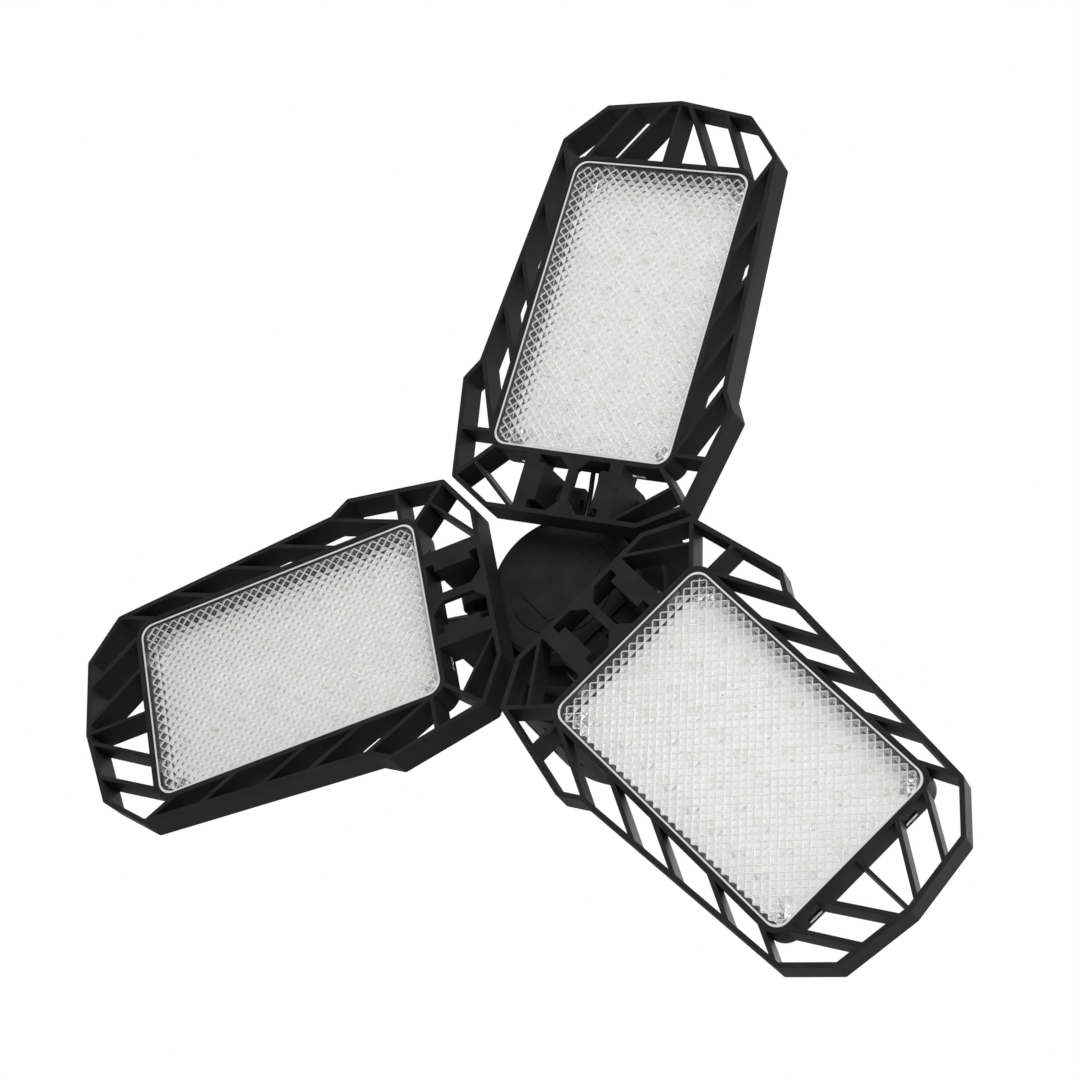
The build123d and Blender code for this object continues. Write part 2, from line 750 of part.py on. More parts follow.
# Lens: a clear plate on the tray's ledge, with four snap hooks through the tray's end walls
hook_reach = lens_clearance + tray_wall + hook_proud
with BuildPart() as lens:
    with BuildSketch(Plane.XY):
        with Locations((lens_middle, 0)):
            RectangleRounded(lens_length, lens_width, lens_corner)
    extrude(amount=-lens_thickness)
    with BuildSketch(Plane.XY.offset(-hook_depth)):
        with Locations((lens_middle, 0)):
            with GridLocations(lens_length - hook_thickness, 2 * hook_spread, 2, 2):
                Rectangle(hook_thickness, hook_width)
    extrude(amount=hook_depth - lens_thickness)
    with BuildSketch(Plane.XY.offset(-hook_depth)):
        with Locations((lens_middle, 0)):
            with GridLocations(lens_length + hook_reach, 2 * hook_spread, 2, 2):
                Rectangle(hook_reach, hook_width)
    extrude(amount=hook_nub)

# Hinge screws: shoulder screws through the ears into the hub's knuckles
with BuildPart() as hinge_screws:
    for side in (1, -1):
        with BuildSketch(Plane.XZ.offset(side * (ear_outer + washer_play))):
            with Locations((hinge_radius, -hinge_depth)):
                Circle(pin_head_radius)
        extrude(amount=side * pin_head_height)
        with BuildSketch(Plane.XZ.offset(side * (knuckle_outer - pin_grip))):
            with Locations((hinge_radius, -hinge_depth)):
                Circle(pin_radius)
        extrude(amount=side * (ear_outer + washer_play - knuckle_outer + pin_grip))
        with BuildSketch(Plane.XZ.offset(side * (ear_outer + washer_play + pin_head_height))):
            with Locations((hinge_radius, -hinge_depth)):
                Rectangle(2 * pin_head_radius, pin_slot_width)
        extrude(amount=-side * pin_slot_depth, mode=Mode.SUBTRACT)

# Friction washers: one between each ear and its knuckle
with BuildPart() as friction_washers:
    for side in (1, -1):
        with BuildSketch(Plane.XZ.offset(side * (knuckle_outer + washer_play))):
            with Locations((hinge_radius, -hinge_depth)):
                Circle(washer_radius)
                Circle(pin_radius + fit_clearance, mode=Mode.SUBTRACT)
        extrude(amount=side * washer_thickness)

# Grommet: a rubber plug in the tray's floor with a flange behind it and a hole for each wire
with BuildPart() as lead_grommet:
    with BuildSketch(Plane.XY.offset(frame_back)):
        with Locations((grommet_place, 0)):
            SlotOverall(
                grommet_length - 2 * fit_clearance, grommet_width - 2 * fit_clearance, rotation=90
            )
    extrude(amount=tray_floor - fit_clearance)
    with BuildSketch(Plane.XY.offset(frame_back)):
        with Locations((grommet_place, 0)):
            SlotOverall(
                grommet_length + 2 * grommet_flange, grommet_width + 2 * grommet_flange, rotation=90
            )
    extrude(amount=-grommet_flange_thickness)
    with BuildSketch(Plane.XY.offset(floor_top)):
        with Locations((grommet_place, 0)):
            with GridLocations(wire_spacing, wire_spacing, 1, 2):
                Circle(wire_radius + wire_clearance)
    extrude(amount=-tray_floor - grommet_flange_thickness, mode=Mode.SUBTRACT)

leaf_pieces = {
    "frame": frame,
    "led_board": led_board,
    "led_chips": led_chips,
    "board_screws": board_screws,
    "lens": lens,
    "hinge_screws": hinge_screws,
    "friction_washers": friction_washers,
    "lead_grommet": lead_grommet,
}
for name, (azimuth, tilt) in leaves.items():
    place = leaf_plane(azimuth, tilt).location
    for piece, builder in leaf_pieces.items():
        placed = place * builder.part
        placed.label = f"{name}_{piece}"
        export_step(placed, f"parts/{name}_{piece}.step")

    # Lead: two wires from the driver board, out of the hub and in through the leaf's back
    lead_route = [
        (wire_foot_radius, -housing_height),
        (wire_foot_radius, wire_exit),
        (hinge_radius + wire_reach, wire_exit),
        leaf_spot(tilt, lens_start + wire_turn_in, frame_back - wire_back),
        leaf_spot(tilt, grommet_place, frame_back - wire_back),
        leaf_spot(tilt, grommet_place, floor_top),
    ]
    with BuildPart() as lead:
        for side in (1, -1):
            with BuildLine(radial_plane(azimuth).offset(side * wire_spacing / 2)) as route:
                FilletPolyline(*lead_route, radius=largest_bends(lead_route))
            with BuildSketch(Plane(origin=route.line @ 0, z_dir=route.line % 0)):
                Circle(wire_radius)
            sweep(path=route.line)
    save(lead, f"{name}_lead")
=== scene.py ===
from math import cos, pi, radians, sin

import bmesh
import bpy
from mathutils import Matrix, Vector


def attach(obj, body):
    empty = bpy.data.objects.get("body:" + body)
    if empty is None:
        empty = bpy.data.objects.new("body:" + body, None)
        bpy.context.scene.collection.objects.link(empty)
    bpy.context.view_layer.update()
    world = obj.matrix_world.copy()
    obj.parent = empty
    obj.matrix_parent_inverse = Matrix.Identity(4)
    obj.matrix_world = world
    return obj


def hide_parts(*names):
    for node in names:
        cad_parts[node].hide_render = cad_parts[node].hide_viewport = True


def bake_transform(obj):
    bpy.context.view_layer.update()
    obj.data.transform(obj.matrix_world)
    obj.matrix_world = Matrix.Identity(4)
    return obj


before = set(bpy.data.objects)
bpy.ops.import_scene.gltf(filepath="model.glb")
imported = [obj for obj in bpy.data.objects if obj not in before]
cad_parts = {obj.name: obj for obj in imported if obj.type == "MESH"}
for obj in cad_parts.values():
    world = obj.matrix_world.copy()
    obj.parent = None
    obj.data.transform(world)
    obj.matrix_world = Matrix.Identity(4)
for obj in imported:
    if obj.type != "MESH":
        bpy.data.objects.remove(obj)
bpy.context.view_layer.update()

# Screw shell: the threaded metal cap of the screw base, about 0.8 mm of nickel-plated sheet.
# Its round thread is rolled into a drawn cup, and the cup is pressed over the housing's spigot.
mm = 0.001
shell_sizes = {
    "Crest Radius": 13.1 * mm,
    "Thread Depth": 1.1 * mm,
    "Pitch": 3.62 * mm,
    "Height": 20.7 * mm,
    "Thread Start": 2.9 * mm,
    "Thread End": 19.6 * mm,
    "Run Out": 1.4 * mm,
    "Rim Height": 0.9 * mm,
    "Lip Width": 2.6 * mm,
}
shell_wall = 0.8 * mm
turn_steps = 96
height_steps = 130
weld = 0.001 * mm
streak_stretch = (1, 1, 12)


def put(tree, kind, inputs=None, **settings):
    """Adds a node. An input, by name or number, takes a value, another node's output or a list of outputs."""
    node = tree.nodes.new(kind)
    for name, value in settings.items():
        setattr(node, name, value)
    for key, value in (inputs or {}).items():
        for output in value if isinstance(value, list) else [value]:
            if isinstance(output, bpy.types.NodeSocket):
                tree.links.new(output, node.inputs[key])
            else:
                node.inputs[key].default_value = output
    return node


def maths(tree, operation, *values):
    """Output of a Math node."""
    return put(tree, "ShaderNodeMath", dict(enumerate(values)), operation=operation).outputs[0]


def vector(tree, **parts):
    """Vector from its parts X, Y and Z; one that isn't given is 0."""
    return put(tree, "ShaderNodeCombineXYZ", parts).outputs[0]


def position(tree):
    """Parts X, Y and Z of the place of each point or face."""
    place = put(tree, "GeometryNodeInputPosition").outputs[0]
    return put(tree, "ShaderNodeSeparateXYZ", {0: place}).outputs


def remap(tree, value, start, end, low=0.0, high=1.0, easing="LINEAR"):
    """Number that goes from low to high as a value goes from start to end, and stays between them."""
    return put(tree, "ShaderNodeMapRange", {
        "Value": value, "From Min": start, "From Max": end, "To Min": low, "To Max": high,
    }, interpolation_type=easing).outputs["Result"]


def new_tree(name, sizes):
    """Empty geometry tree with one named input for each size, and its group input's outputs."""
    tree = bpy.data.node_groups.new(name, "GeometryNodeTree")
    tree.interface.new_socket("Geometry", in_out="INPUT", socket_type="NodeSocketGeometry")
    tree.interface.new_socket("Geometry", in_out="OUTPUT", socket_type="NodeSocketGeometry")
    for size, value in sizes.items():
        kind = "NodeSocketInt" if isinstance(value, int) else "NodeSocketFloat"
        tree.interface.new_socket(size, in_out="INPUT", socket_type=kind)
    return tree, put(tree, "NodeGroupInput").outputs


def shown(name, data):
    """New object of the scene, at its origin."""
    piece = bpy.data.objects.new(name, data)
    bpy.context.scene.collection.objects.link(piece)
    return piece


def evaluated(piece):
    """Plain mesh of an object as it shows now."""
    bpy.context.view_layer.update()
    return bpy.data.meshes.new_from_object(piece.evaluated_get(bpy.context.evaluated_depsgraph_get()))


def grown(name, tree, sizes, base=None):
    """Plain mesh that a geometry tree makes from a base mesh with these sizes."""
    source = shown(name, base or bpy.data.meshes.new(name))
    modifier = source.modifiers.new("grow", "NODES")
    modifier.node_group = tree
    for item in tree.interface.items_tree:
        if item.in_out == "INPUT" and item.name in sizes:
            modifier[item.identifier] = sizes[item.name]
    mesh = evaluated(source)
    bpy.data.objects.remove(source)
    return mesh


def surface(name, **sockets):
    """New material: its tree, its shader and its Object coordinates."""
    material = bpy.data.materials.new(name)
    material.use_nodes = True
    tree = material.node_tree
    shader = tree.nodes["Principled BSDF"]
    for socket, value in sockets.items():
        shader.inputs[socket.replace("_", " ")].default_value = value
    return material, tree, shader, put(tree, "ShaderNodeTexCoord").outputs["Object"]


def mottle(tree, where, size, detail=3.0):
    """Soft random pattern with features of about this size."""
    noise = put(tree, "ShaderNodeTexNoise", {"Vector": where, "Scale": 1 / size, "Detail": detail})
    return noise.outputs["Fac"]


def paint(tree, shader, factor, first, second, start=0.3, end=0.7):
    """Colours a shader from the first tone to the second as the factor goes from start to end."""
    ramp = put(tree, "ShaderNodeValToRGB", {"Fac": factor})
    for element, place, tone in zip(ramp.color_ramp.elements, (start, end), (first, second)):
        element.position = place
        element.color = (*tone, 1)
    tree.links.new(ramp.outputs["Color"], shader.inputs["Base Color"])


def roughen(tree, shader, factor, low, high):
    """Makes a shader's roughness go from low to high as the factor goes from 0 to 1."""
    tree.links.new(remap(tree, factor, 0.0, 1.0, low, high), shader.inputs["Roughness"])


def rough_skin(tree, shader, height, depth, strength=1.0):
    """Bumps a shader by a height pattern of this depth."""
    bump = put(tree, "ShaderNodeBump", {"Height": height, "Distance": depth, "Strength": strength})
    tree.links.new(bump.outputs["Normal"], shader.inputs["Normal"])


tree, size = new_tree("rolled thread", shell_sizes)
sheet = put(tree, "GeometryNodeMeshGrid", {
    "Size X": 1.0, "Size Y": 1.0, "Vertices X": turn_steps + 1, "Vertices Y": height_steps + 1,
})
spot = position(tree)
turn = maths(tree, "ADD", spot["X"], 0.5)
full_run = maths(tree, "ADD", size["Height"], size["Lip Width"])
run = maths(tree, "MULTIPLY", maths(tree, "ADD", spot["Y"], 0.5), full_run)
rise = maths(tree, "MINIMUM", run, size["Height"])
lip = maths(tree, "SUBTRACT", run, rise)
phase = maths(tree, "SUBTRACT", maths(tree, "DIVIDE", rise, size["Pitch"]), turn)
wave = maths(tree, "COSINE", maths(tree, "MULTIPLY", phase, 2 * pi))
crest = maths(tree, "MULTIPLY_ADD", wave, 0.5, 0.5)
run_in = maths(tree, "SUBTRACT", size["Thread Start"], size["Run Out"])
run_off = maths(tree, "SUBTRACT", size["Thread End"], size["Run Out"])
rim_end = maths(tree, "MULTIPLY", size["Rim Height"], 2.0)
fade_in = remap(tree, rise, run_in, size["Thread Start"], easing="SMOOTHSTEP")
fade_out = remap(tree, rise, size["Thread End"], run_off, easing="SMOOTHSTEP")
ridge = maths(tree, "MULTIPLY", maths(tree, "MULTIPLY", crest, fade_in), fade_out)
rim = remap(tree, rise, rim_end, size["Rim Height"], easing="SMOOTHSTEP")
swell = maths(tree, "MULTIPLY", maths(tree, "MAXIMUM", ridge, rim), size["Thread Depth"])
root = maths(tree, "SUBTRACT", maths(tree, "SUBTRACT", size["Crest Radius"], size["Thread Depth"]), lip)
radius = maths(tree, "ADD", root, swell)
angle = maths(tree, "MULTIPLY", turn, 2 * pi)
rolled = put(tree, "GeometryNodeSetPosition", {
    "Geometry": sheet.outputs["Mesh"],
    "Position": vector(
        tree,
        X=maths(tree, "MULTIPLY", radius, maths(tree, "COSINE", angle)),
        Y=maths(tree, "MULTIPLY", radius, maths(tree, "SINE", angle)),
        Z=rise,
    ),
})
closed = put(tree, "GeometryNodeMergeByDistance", {"Geometry": rolled.outputs[0], "Distance": weld})

plated_shell, shade, shader, where = surface("nickel_plating", Metallic=1.0)
drawn = put(shade, "ShaderNodeMapping", {"Vector": where, "Scale": streak_stretch}).outputs[0]
streaks = mottle(shade, drawn, size=1.5 * mm, detail=5.0)
paint(shade, shader, streaks, (0.66, 0.63, 0.57), (0.80, 0.78, 0.73))
roughen(shade, shader, streaks, low=0.18, high=0.34)
rough_skin(shade, shader, streaks, depth=0.01 * mm)
realized = put(tree, "GeometryNodeRealizeInstances", {0: closed.outputs[0]})
skin = put(tree, "GeometryNodeSetMaterial", {"Geometry": realized.outputs[0], "Material": plated_shell})
smooth = put(tree, "GeometryNodeSetShadeSmooth", {"Geometry": skin.outputs[0]})
put(tree, "NodeGroupOutput", {0: smooth.outputs[0]})

screw_shell = shown("screw_shell_skin", grown("screw_shell_skin", tree, shell_sizes))
wall = screw_shell.modifiers.new("wall", "SOLIDIFY")
wall.thickness = shell_wall
wall.offset = -1.0
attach(screw_shell, "hub")
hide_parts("screw_shell")

# Insulator: a black glassy cone between the shell and the end contact, moulded and crimped into the
# shell's mouth.
flat_angle = radians(0.5)


def rounded(piece, width, segments, angle):
    """Live bevel on the edges of a piece that turn by more than an angle in degrees."""
    edges = piece.modifiers.new("rounded edges", "BEVEL")
    edges.width = width
    edges.segments = segments
    edges.limit_method = "ANGLE"
    edges.angle_limit = radians(angle)
    return edges


def moulding(node, material, rounding):
    """Copy of a CAD node as one skin with its flat faces joined and its edges rounded."""
    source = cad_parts[node].data
    mesh = bpy.data.meshes.new(node + "_skin")
    mesh.from_pydata([v.co for v in source.vertices], [], [p.vertices for p in source.polygons])
    skin = bmesh.new()
    skin.from_mesh(mesh)
    bmesh.ops.remove_doubles(skin, verts=skin.verts, dist=weld)
    bmesh.ops.dissolve_limit(skin, angle_limit=flat_angle, verts=skin.verts, edges=skin.edges)
    skin.to_mesh(mesh)
    skin.free()
    mesh.materials.append(material)
    mesh.shade_smooth()
    piece = shown(node + "_skin", mesh)
    edges = rounded(piece, rounding, segments=2, angle=35)
    edges.harden_normals = True
    edges.use_clamp_overlap = False
    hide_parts(node)
    return piece


insulator, shade, shader, where = surface("black_glass", Roughness=0.15)
clouds = mottle(shade, where, size=2.5 * mm)
paint(shade, shader, clouds, (0.006, 0.006, 0.007), (0.018, 0.017, 0.02), start=0.35)
rough_skin(shade, shader, clouds, depth=0.01 * mm)
cap_insulator = moulding("cap_insulator", insulator, rounding=0.3 * mm)
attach(cap_insulator, "hub")

# End contact: the button at the tip of the screw base, pressed from brass sheet, with a dull tinned face.
# It sits in the insulator and is soldered to the supply wire.
contact, shade, shader, where = surface("tinned_brass", Metallic=1.0)
tin = mottle(shade, where, size=1.8 * mm, detail=5.0)
paint(shade, shader, tin, (0.62, 0.47, 0.24), (0.72, 0.68, 0.6), start=0.35, end=0.65)
roughen(shade, shader, tin, low=0.2, high=0.45)
rough_skin(shade, shader, tin, depth=0.04 * mm)
centre_contact = moulding("centre_contact", contact, rounding=0.2 * mm)
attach(centre_contact, "hub")

# Driver housing: the drum that holds the electronics, with a ring of tall vents in its side. It is moulded
# in black flame-proof plastic with a fine spark-eroded grain, and its spigot sits in the shell.
plastic_rounding = 0.12 * mm
black_plastic, shade, shader, where = surface("satin_black_plastic", Specular_IOR_Level=0.04)
flow = mottle(shade, where, size=9 * mm)
grain = mottle(shade, where, size=0.35 * mm, detail=2.0)
paint(shade, shader, flow, (0.023, 0.023, 0.0232), (0.0335, 0.033, 0.033))
roughen(shade, shader, flow, low=0.58, high=0.70)
rough_skin(shade, shader, grain, depth=0.02 * mm, strength=0.6)
driver_housing = moulding("driver_housing", black_plastic, plastic_rounding)
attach(driver_housing, "hub")

# Driver board: a round glass-fibre circuit board under green solder mask, with copper tracks that show
# through it. It lies on the hub's plate, round the screw bosses.
def dress(node, material):
    """Gives a material to a CAD node that is shown as it is."""
    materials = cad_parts[node].data.materials
    materials.clear()
    materials.append(material)


circuit_board, shade, shader, where = surface("green_solder_mask", Roughness=0.32)
tracks = put(shade, "ShaderNodeTexBrick", {
    "Vector": where,
    "Color1": (0.012, 0.10, 0.035, 1),
    "Color2": (0.018, 0.13, 0.05, 1),
    "Mortar": (0.03, 0.20, 0.07, 1),
    "Scale": 90.0,
    "Mortar Size": 0.06,
})
shade.links.new(tracks.outputs["Color"], shader.inputs["Base Color"])
rough_skin(shade, shader, tracks.outputs["Fac"], depth=0.05 * mm)
dress("driver_board", circuit_board)

# Driver parts: a smoothing capacitor in a shrunk sleeve, an inductor of copper wire between ferrite
# flanges, and a moulded bridge rectifier. They stand on the board and show only through the vents.
sleeve_top = -68.4 * mm
bare_metal_from = -68.0 * mm
coil_middle = -80.4 * mm
coil_half_height = 5.0 * mm
can_sleeve, shade, shader, where = surface("shrunk_sleeve", Roughness=0.25)
height = put(shade, "ShaderNodeSeparateXYZ", {0: where}).outputs["Z"]
bare = remap(shade, height, sleeve_top, bare_metal_from)
paint(shade, shader, bare, (0.012, 0.012, 0.03), (0.6, 0.6, 0.6), start=0.0, end=1.0)
shade.links.new(bare, shader.inputs["Metallic"])
rough_skin(shade, shader, mottle(shade, where, size=1.2 * mm), depth=0.03 * mm)

ferrite, shade, shader, where = surface("ferrite_and_copper")
height = put(shade, "ShaderNodeSeparateXYZ", {0: where}).outputs["Z"]
off_middle = maths(shade, "ABSOLUTE", maths(shade, "SUBTRACT", height, coil_middle))
coil = maths(shade, "LESS_THAN", off_middle, coil_half_height)
turns = put(shade, "ShaderNodeTexWave", {"Vector": where, "Scale": 400.0}, bands_direction="Z")
paint(shade, shader, coil, (0.03, 0.029, 0.028), (0.45, 0.17, 0.06), start=0.0, end=1.0)
roughen(shade, shader, coil, low=0.7, high=0.3)
rough_skin(shade, shader, maths(shade, "MULTIPLY", turns.outputs["Fac"], coil), depth=0.15 * mm)

black_moulding, shade, shader, where = surface("black_epoxy", Roughness=0.5)
specks = mottle(shade, where, size=0.6 * mm)
paint(shade, shader, specks, (0.012, 0.012, 0.012), (0.03, 0.03, 0.03))
rough_skin(shade, shader, specks, depth=0.03 * mm)
dress("driver_capacitor", can_sleeve)
dress("driver_inductor", ferrite)
dress("driver_rectifier", black_moulding)

# Supply wires: two sleeved wires from the driver board, a black one to the end contact and a white one
# to the wall of the screw shell. Each is soldered at both ends and lies inside the drum.
supply_radius = 0.8 * mm
supply_routes = {  # y and z in mm
    "centre_lead": [(15.0, -87.4), (15.0, -14.0), (0.0, -4.0), (0.0, 24.9)],
    "shell_lead": [(-13.0, -87.4), (-13.0, -14.0), (-6.0, -4.0), (-6.0, 12.0), (-10.3, 18.9)],
}


def sleeve(name, first, second):
    """Material of a wire's smooth sleeve, between two tones."""
    material, shade, shader, where = surface(name)
    folds = mottle(shade, where, size=1.6 * mm)
    paint(shade, shader, folds, first, second)
    roughen(shade, shader, folds, low=0.35, high=0.5)
    rough_skin(shade, shader, folds, depth=0.02 * mm)
    return material


def wire(name, route, radius, material):
    """Tube along a smooth line through a route, and the points of that line."""
    line = bpy.data.curves.new(name, "CURVE")
    line.dimensions = "3D"
    spline = line.splines.new("NURBS")
    spline.points.add(len(route) - 1)
    for point, place in zip(spline.points, route):
        point.co = (*place, 1)
    spline.order_u = 3
    spline.use_endpoint_u = True
    line.resolution_u = 12
    holder = shown(name + "_line", line)
    points = [v.co.copy() for v in evaluated(holder).vertices]
    line.bevel_depth = radius
    line.bevel_resolution = 5
    line.use_fill_caps = True
    tube = evaluated(holder)
    bpy.data.objects.remove(holder)
    tube.materials.append(material)
    tube.shade_smooth()
    return shown(name, tube), points


black_wire = sleeve("black_sleeve", (0.010, 0.010, 0.011), (0.022, 0.022, 0.024))
white_wire = sleeve("white_sleeve", (0.68, 0.67, 0.63), (0.80, 0.79, 0.76))
for name, slot, material in (
    ("centre_lead", "black_wire", black_wire),
    ("shell_lead", "white_wire", white_wire),
):
    route = [(0, y * mm, z * mm) for y, z in supply_routes[name]]
    piece, points = wire(name + "_wire", route, supply_radius, material)
    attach(piece, "hub")
    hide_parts(name)

# Hub: a moulded ring with two hinge knuckles for each leaf, and a stepped cover with a six-sided boss
# that clips in from below and hides the wiring.
cover_rounding = 0.2 * mm
for node, rounding in (("hub_body", plastic_rounding), ("hub_cover", cover_rounding)):
    piece = moulding(node, black_plastic, rounding)
    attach(piece, "hub")

# Housing screws: three zinc-plated pan-head screws with a cross recess, driven up through the hub's
# plate into the housing's bosses.
screw_sizes = {
    "Head Radius": 2.6 * mm,
    "Head Height": 1.6 * mm,
    "Dome": 0.4 * mm,
    "Shank Radius": 1.3 * mm,
    "Shank Length": 10.4 * mm,
    "Recess Length": 3.0 * mm,
    "Recess Width": 0.7 * mm,
    "Recess Depth": 0.8 * mm,
    "Second Bar": 3.0 * mm,
}
screw_rounding = 0.12 * mm
head_sides = 28
shank_sides = 20
boss_circle = 20.2 * mm
boss_azimuths = (30, 150, 270)
plate_bottom = -91.4 * mm


def moved(tree, geometry, shift):
    """Geometry moved by a vector."""
    return put(tree, "GeometryNodeTransform", {"Geometry": geometry, "Translation": shift}).outputs[0]


def block(tree, sides, shift):
    """Box with these sides, its middle moved from the origin by a vector."""
    return moved(tree, put(tree, "GeometryNodeMeshCube", {"Size": sides}).outputs["Mesh"], shift)


def joined(tree, *pieces):
    """Geometry of several outputs in one."""
    return put(tree, "GeometryNodeJoinGeometry", {0: list(pieces)}).outputs[0]


tree, size = new_tree("screw", screw_sizes)
head = put(tree, "GeometryNodeMeshCylinder", {
    "Vertices": head_sides, "Fill Segments": 3, "Radius": size["Head Radius"], "Depth": size["Head Height"],
})
spot = position(tree)
squares = [maths(tree, "MULTIPLY", spot[way], spot[way]) for way in ("X", "Y")]
rim_square = maths(tree, "MULTIPLY", size["Head Radius"], size["Head Radius"])
out = maths(tree, "DIVIDE", maths(tree, "ADD", *squares), rim_square)
on_top = maths(tree, "GREATER_THAN", spot["Z"], 0.0)
drop = maths(tree, "MULTIPLY", maths(tree, "MULTIPLY", out, size["Dome"]), on_top)
domed = put(tree, "GeometryNodeSetPosition", {
    "Geometry": head.outputs["Mesh"],
    "Offset": vector(tree, Z=maths(tree, "MULTIPLY", drop, -1.0)),
})
raised = moved(tree, domed.outputs[0], vector(tree, Z=maths(tree, "MULTIPLY", size["Head Height"], 0.5)))
bar_height = maths(tree, "MULTIPLY", size["Recess Depth"], 2.0)
bars = []
for long_side, short_side in (("Recess Length", "Recess Width"), ("Recess Width", "Second Bar")):
    sides = vector(tree, X=size[long_side], Y=size[short_side], Z=bar_height)
    bars.append(block(tree, sides, vector(tree, Z=size["Head Height"])))
cut = put(tree, "GeometryNodeMeshBoolean", {"Mesh 1": raised, "Mesh 2": bars}, operation="DIFFERENCE")
shank = put(tree, "GeometryNodeMeshCylinder", {
    "Vertices": shank_sides, "Radius": size["Shank Radius"], "Depth": size["Shank Length"],
}).outputs["Mesh"]
sunk = moved(tree, shank, vector(tree, Z=maths(tree, "MULTIPLY", size["Shank Length"], -0.5)))
axis = put(tree, "GeometryNodeInputNamedAttribute", {"Name": "axis"}, data_type="FLOAT_VECTOR")
aimed = put(tree, "FunctionNodeAlignRotationToVector", {"Vector": axis.outputs["Attribute"]}, axis="Z")
driven = put(tree, "GeometryNodeInstanceOnPoints", {
    "Points": size["Geometry"],
    "Instance": joined(tree, cut.outputs["Mesh"], sunk),
    "Rotation": aimed.outputs[0],
})
realized = put(tree, "GeometryNodeRealizeInstances", {0: driven.outputs[0]})
screw_metal = put(tree, "GeometryNodeSetMaterial", {"Geometry": realized.outputs[0]})
put(tree, "NodeGroupOutput", {0: screw_metal.outputs[0]})
screw_tree = tree


def screws(name, seats, sizes, material):
    """Screws with their heads on these seats; a seat is a place and the way its head points."""
    points = bpy.data.meshes.new(name + "_seats")
    points.from_pydata([place for place, axis in seats], [], [])
    axes = points.attributes.new("axis", "FLOAT_VECTOR", "POINT")
    for item, (place, axis) in zip(axes.data, seats):
        item.vector = axis
    screw_metal.inputs["Material"].default_value = material
    piece = shown(name, grown(name, screw_tree, sizes, points))
    rounded(piece, screw_rounding, segments=2, angle=50)
    return piece


steel_screw, shade, shader, where = surface("zinc_plating", Metallic=1.0)
zinc = mottle(shade, where, size=0.8 * mm, detail=4.0)
paint(shade, shader, zinc, (0.50, 0.50, 0.50), (0.68, 0.69, 0.70))
roughen(shade, shader, zinc, low=0.25, high=0.42)
rough_skin(shade, shader, zinc, depth=0.02 * mm)
seats = []
for azimuth in map(radians, boss_azimuths):
    place = (boss_circle * cos(azimuth), boss_circle * sin(azimuth), plate_bottom)
    seats.append((place, (0, 0, -1)))
housing_screws = screws("housing_screws_set", seats, screw_sizes, steel_screw)
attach(housing_screws, "hub")
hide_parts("housing_screws")

# Leaf frames: three like lattice mouldings in black plastic, each with a tray for the light, cooling
# fins on its back and two hinge ears. They turn on the hub's knuckles.
rest_tilts = {"leaf_1": -5.0, "leaf_2": 6.0, "leaf_3": 2.5}
first_azimuth = 90
leaf_pitch = 120
hinge_radius = 31.4 * mm
hinge_z = -98.0 * mm
hinge_depth = 20.0 * mm
up = Vector((0, 0, 1))
leaf_places = {}
leaf_outwards = {}
for index, (leaf, tilt) in enumerate(rest_tilts.items()):
    azimuth = radians(first_azimuth + leaf_pitch * index)
    tilt = radians(tilt)
    outwards = Vector((cos(azimuth), sin(azimuth), 0))
    along = outwards * cos(tilt) + up * sin(tilt)
    normal = outwards * sin(tilt) - up * cos(tilt)
    hinge = outwards * hinge_radius + up * hinge_z
    place = Matrix((along, normal.cross(along), normal)).transposed().to_4x4()
    place.translation = hinge - along * hinge_radius + normal * hinge_depth
    leaf_places[leaf] = place
    leaf_outwards[leaf] = outwards
    piece = moulding(leaf + "_frame", black_plastic, plastic_rounding)
    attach(piece, leaf)

# LED boards: an aluminium-backed circuit board in each tray under glossy white solder mask, with the
# copper areas just showing through it. Each is screwed flat on the tray's floor.
white_board, shade, shader, where = surface("white_solder_mask", Roughness=0.35)
paint(shade, shader, mottle(shade, where, size=14 * mm), (0.795, 0.795, 0.79), (0.845, 0.845, 0.84))
rough_skin(shade, shader, mottle(shade, where, size=0.7 * mm), depth=0.02 * mm)
for leaf in leaf_places:
    piece = moulding(leaf + "_led_board", white_board, rounding=0.1 * mm)
    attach(piece, leaf)

# Diodes: small white packages in even rows on each board, with a pad of pale phosphor under clear
# silicone on top. They are soldered to the board.
lens_middle = 99.8 * mm
led_board_top = -9.6 * mm
chip_sizes = {
    "Columns": 9,
    "Rows": 5,
    "Field Length": 92.5 * mm,
    "Field Width": 48.2 * mm,
    "Length": 3.5 * mm,
    "Width": 2.8 * mm,
    "Height": 0.65 * mm,
    "Pad Share": 0.78,
    "Pad Height": 0.15 * mm,
}
tree, size = new_tree("diodes", chip_sizes)
field = put(tree, "GeometryNodeMeshGrid", {
    "Size X": size["Field Length"],
    "Size Y": size["Field Width"],
    "Vertices X": size["Columns"],
    "Vertices Y": size["Rows"],
})
package = block(
    tree,
    sides=vector(tree, X=size["Length"], Y=size["Width"], Z=size["Height"]),
    shift=vector(tree, Z=maths(tree, "MULTIPLY", size["Height"], 0.5)),
)
pad = block(
    tree,
    sides=vector(
        tree,
        X=maths(tree, "MULTIPLY", size["Length"], size["Pad Share"]),
        Y=maths(tree, "MULTIPLY", size["Width"], size["Pad Share"]),
        Z=size["Pad Height"],
    ),
    shift=vector(tree, Z=maths(tree, "MULTIPLY_ADD", size["Pad Height"], 0.5, size["Height"])),
)
soldered = put(tree, "GeometryNodeInstanceOnPoints", {
    "Points": field.outputs["Mesh"], "Instance": joined(tree, package, pad),
})
realized = put(tree, "GeometryNodeRealizeInstances", {0: soldered.outputs[0]})
pad_level = maths(tree, "MULTIPLY_ADD", size["Pad Height"], 0.25, size["Height"])
